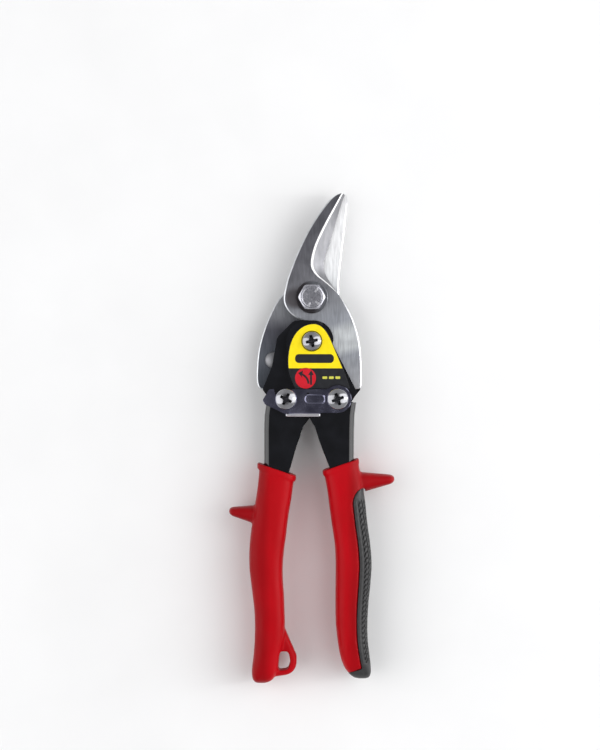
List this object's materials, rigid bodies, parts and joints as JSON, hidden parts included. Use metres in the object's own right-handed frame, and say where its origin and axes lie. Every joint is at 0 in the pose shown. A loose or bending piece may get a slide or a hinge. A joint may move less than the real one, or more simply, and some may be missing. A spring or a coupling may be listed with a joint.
{
  "type": "aviation snips",
  "caption": "Compound-action sheet-metal snips: offset jaws on a main bolt, stamped channel handles with moulded grips, and a swing latch, shown closed.",
  "frame": {"origin": "middle of the bounding box in X and Y, on the surface the closed snips lie on", "axes": "+Y runs from the grips to the jaw tips, +Z is the labelled front face, +X is to the right seen from the front"},
  "size_m": [0.0844, 0.25, 0.0262],
  "materials": {
    "blade_steel": "ground",
    "chromed_steel": "polished",
    "zinc_plated_steel": "satin",
    "spring_steel": "satin",
    "black_oxide_steel": "semi-gloss black",
    "printed_label": "gloss",
    "red_grip": "semi-gloss",
    "black_grip": "matte"
  },
  "bodies": {
    "right_handle_body": {"right_handle": "black_oxide_steel", "right_grip": "red_grip", "right_grip_insert": "black_grip", "handle_label": "printed_label", "handle_pivot_screw": "chromed_steel", "handle_pivot_nut": "zinc_plated_steel", "handle_pivot_sleeve": "zinc_plated_steel", "right_link_screw": "chromed_steel", "right_link_nut": "zinc_plated_steel", "right_link_washer": "zinc_plated_steel", "right_link_spacer": "zinc_plated_steel", "right_nut_washer": "zinc_plated_steel", "latch_washer": "zinc_plated_steel", "return_spring": "spring_steel"},
    "left_handle_body": {"left_handle": "black_oxide_steel", "left_grip": "red_grip", "left_link_screw": "chromed_steel", "left_link_nut": "zinc_plated_steel", "left_link_spacer": "zinc_plated_steel", "left_link_washer": "zinc_plated_steel", "latch_collar": "chromed_steel"},
    "upper_blade_body": {"upper_blade": "blade_steel", "main_bolt": "chromed_steel", "main_washer": "chromed_steel", "main_back_washer": "zinc_plated_steel", "main_nut": "zinc_plated_steel"},
    "lower_blade_body": {"lower_blade": "blade_steel", "tail_rivet": "blade_steel"},
    "latch_body": {"latch": "chromed_steel"}
  },
  "joints": [
    {"name": "handles_open", "type": "hinge", "parent": "right_handle_body", "child": "left_handle_body", "pos_m": [0, 0.0494, 0.012], "axis": [0, 0, -1], "range_deg": [0, 36], "deforming": ["return_spring"]},
    {"name": "upper_blade_turn", "type": "hinge", "parent": "right_handle_body", "child": "upper_blade_body", "pos_m": [0.0131, 0.02, 0.012], "axis": [0, 0, -1], "range_deg": [0, 8.3]},
    {"name": "lower_blade_turn", "type": "hinge", "parent": "left_handle_body", "child": "lower_blade_body", "pos_m": [-0.0131, 0.02, 0.012], "axis": [0, 0, 1], "range_deg": [0, 8.3]},
    {"name": "latch_swing", "type": "hinge", "parent": "right_handle_body", "child": "latch_body", "pos_m": [0.0131, 0.02, 0.012], "axis": [0, 0, 1], "range_deg": [0, 68.01]}
  ],
  "couplings": [
    {"joint": "upper_blade_turn", "follows": "handles_open", "ratio": 0.23025},
    {"joint": "lower_blade_turn", "follows": "handles_open", "ratio": 0.23025},
    {"joint": "latch_swing", "follows": "handles_open", "ratio": 1.8889}
  ]
}
